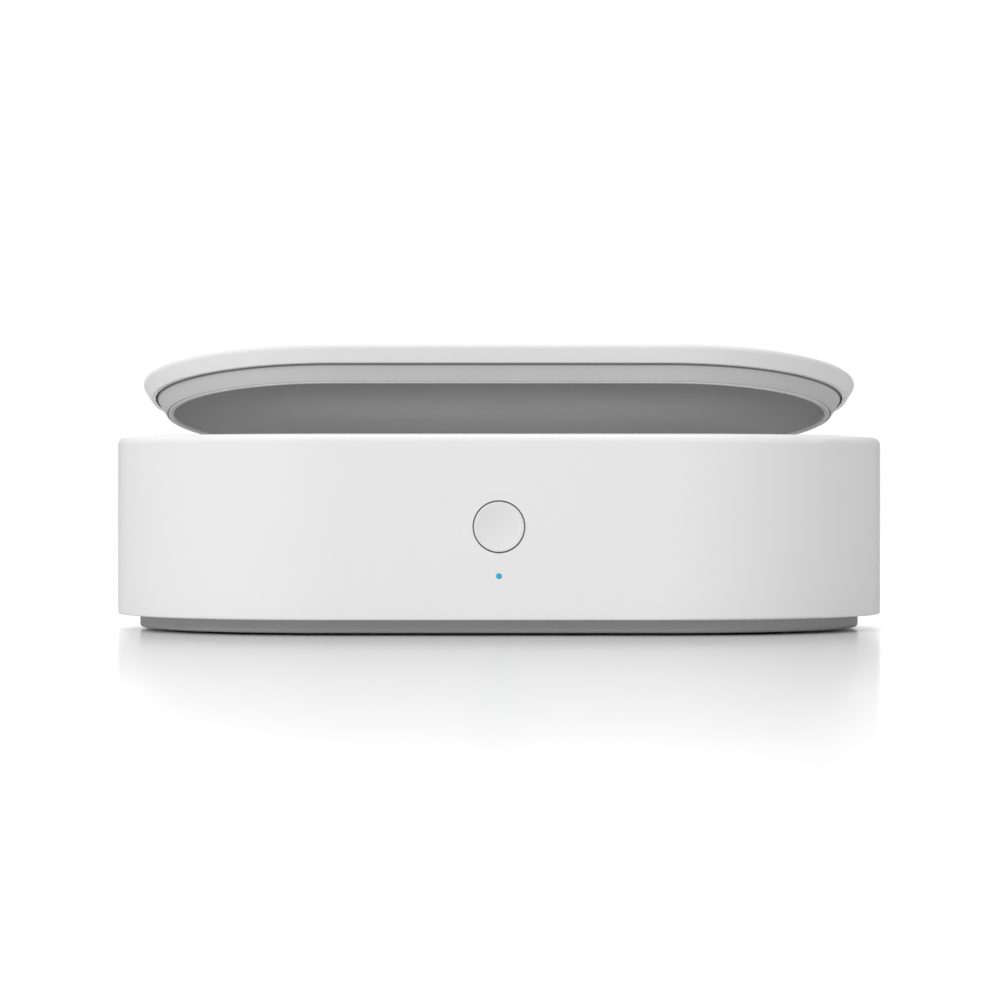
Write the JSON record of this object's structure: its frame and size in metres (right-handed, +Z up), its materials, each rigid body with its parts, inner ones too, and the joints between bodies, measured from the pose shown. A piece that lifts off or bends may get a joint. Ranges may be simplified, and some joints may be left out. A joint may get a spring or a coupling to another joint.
{
  "type": "phone sanitizer box",
  "caption": "Slot-shaped ultraviolet sanitizer box for a phone: white shell on a grey plinth, hinged lid with a bevelled plug and grey dished liner, round front button and tiny cyan light.",
  "frame": {"origin": "centre of the box, on the plane of its feet", "axes": "+X along the box to the right of someone facing its button, -Y out of the front face with the button, +Z up"},
  "size_m": [0.218, 0.127, 0.0793],
  "materials": {
    "white_shell": "fine satin, moulded white ABS",
    "white_button": "fine satin, moulded white ABS",
    "grey_plinth": "fine matt, moulded grey ABS",
    "silvered_tray": "vacuum-metallised satin silver, to throw the light about",
    "grey_liner": "smooth satin grey, dished",
    "clear_silicone": "translucent soft silicone",
    "foot_rubber": "matt dark rubber",
    "quartz": "polished fused quartz",
    "lamp_board": "white-lacquered aluminium board",
    "emitter": "ceramic lamp package with a clear lens",
    "circuit_board": "green solder mask",
    "black_resin": "moulded black resin",
    "capacitor_can": "drawn aluminium can",
    "ivory_nylon": "moulded ivory nylon",
    "lead_jacket": "extruded dark jacket",
    "bright_steel": "bright nickel-plated steel",
    "hinge_metal": "die-cast, silver satin finish",
    "bronze_sleeve": "sintered bronze",
    "cyan_pipe": "clear acrylic light pipe, lit cyan",
    "dark_plunger": "moulded dark nylon",
    "magnet_plate": "nickel-plated magnet"
  },
  "bodies": {
    "base": {"base_plate": "grey_plinth", "base_screws": "bright_steel", "bracket_screws": "bright_steel", "button_board": "circuit_board", "button_board_screws": "bright_steel", "button_header": "ivory_nylon", "button_lead": "lead_jacket", "capacitors": "capacitor_can", "chamber_tray": "silvered_tray", "hall_sensor": "black_resin", "hinge_bracket_left": "hinge_metal", "hinge_bracket_right": "hinge_metal", "hinge_pin_left": "bright_steel", "hinge_pin_right": "bright_steel", "led_driver": "black_resin", "light_pipe": "cyan_pipe", "main_board": "circuit_board", "main_board_screws": "bright_steel", "mcu_chip": "black_resin", "outer_shell": "white_shell", "phone_rest_left": "clear_silicone", "phone_rest_right": "clear_silicone", "power_inductor": "black_resin", "rubber_feet": "foot_rubber", "status_led": "ivory_nylon", "tact_switch": "black_resin", "tray_screws": "bright_steel", "usb_socket": "bright_steel", "usb_tongue": "black_resin", "uv_board_floor_left": "lamp_board", "uv_board_floor_right": "lamp_board", "uv_board_rear_left": "lamp_board", "uv_board_rear_right": "lamp_board", "uv_lead_floor_left": "lead_jacket", "uv_lead_floor_right": "lead_jacket", "uv_lead_rear_left": "lead_jacket", "uv_lead_rear_right": "lead_jacket", "uv_leds_floor_left": "emitter", "uv_leds_floor_right": "emitter", "uv_leds_rear_left": "emitter", "uv_leds_rear_right": "emitter", "uv_window_floor_left": "quartz", "uv_window_floor_right": "quartz", "uv_window_rear_left": "quartz", "uv_window_rear_right": "quartz", "wire_headers": "ivory_nylon"},
    "lid": {"arm_screws": "bright_steel", "frame_screws": "bright_steel", "hinge_arm_left": "hinge_metal", "hinge_arm_right": "hinge_metal", "hinge_sleeve_left": "bronze_sleeve", "hinge_sleeve_right": "bronze_sleeve", "lid_cover": "white_shell", "lid_frame": "white_shell", "lid_liner": "grey_liner", "lid_magnet": "magnet_plate", "lid_seal": "clear_silicone"},
    "button": {"power_button": "white_button", "tact_plunger": "dark_plunger"}
  },
  "joints": [
    {"name": "lid_hinge", "type": "hinge", "parent": "base", "child": "lid", "pos_m": [0, 0.058, 0.0554], "axis": [-1, 0, 0], "range_deg": [-9.95, 75.05]},
    {"name": "button_press", "type": "slide", "parent": "base", "child": "button", "axis": [0, 1, 0], "range_m": [0, 0.0006], "stiffness_N_per_m": 1500, "springref_m": -0.0004}
  ]
}
